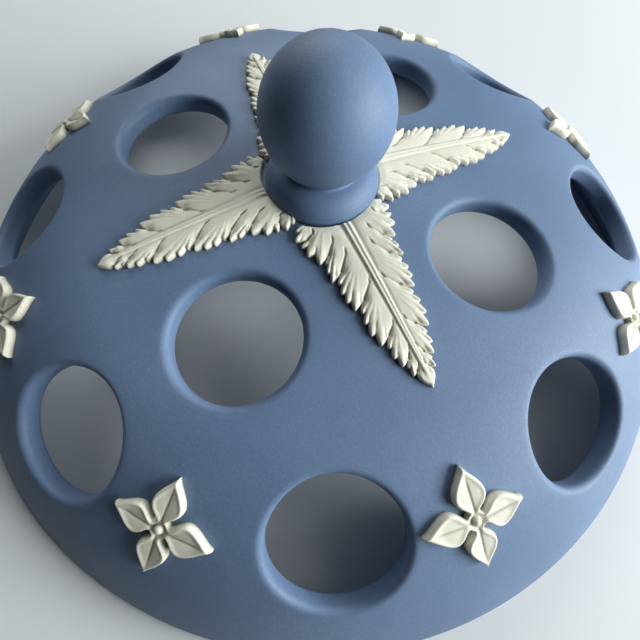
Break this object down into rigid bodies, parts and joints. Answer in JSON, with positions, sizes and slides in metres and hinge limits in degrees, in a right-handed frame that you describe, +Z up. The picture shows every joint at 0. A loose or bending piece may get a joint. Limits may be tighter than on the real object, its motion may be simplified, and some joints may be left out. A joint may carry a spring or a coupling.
{
  "type": "flower frog",
  "caption": "Domed stoneware flower frog: a pierced bowl cover with round stem holes, a ball knob on a turned foot, applied leaf sprigs and small four-petalled florets.",
  "frame": {"origin": "On the axis of the dome at the level of the seat under its rim, where it stands on a table", "axes": "+Z up along the knob's axis, -Y towards the stem hole at the front, +X to the right seen from the front"},
  "size_m": [0.13, 0.13, 0.0434],
  "materials": {
    "blue_body": "matte unglazed slate-blue stoneware",
    "cream_relief": "matte unglazed warm white stoneware relief"
  },
  "bodies": {
    "root": {"dome": "blue_body", "knob": "blue_body", "leaf_left": "cream_relief", "leaf_front": "cream_relief", "leaf_right": "cream_relief", "leaf_back": "cream_relief", "floret_1": "cream_relief", "floret_2": "cream_relief", "floret_3": "cream_relief", "floret_4": "cream_relief", "floret_5": "cream_relief", "floret_6": "cream_relief", "floret_7": "cream_relief", "floret_8": "cream_relief"}
  },
  "joints": []
}
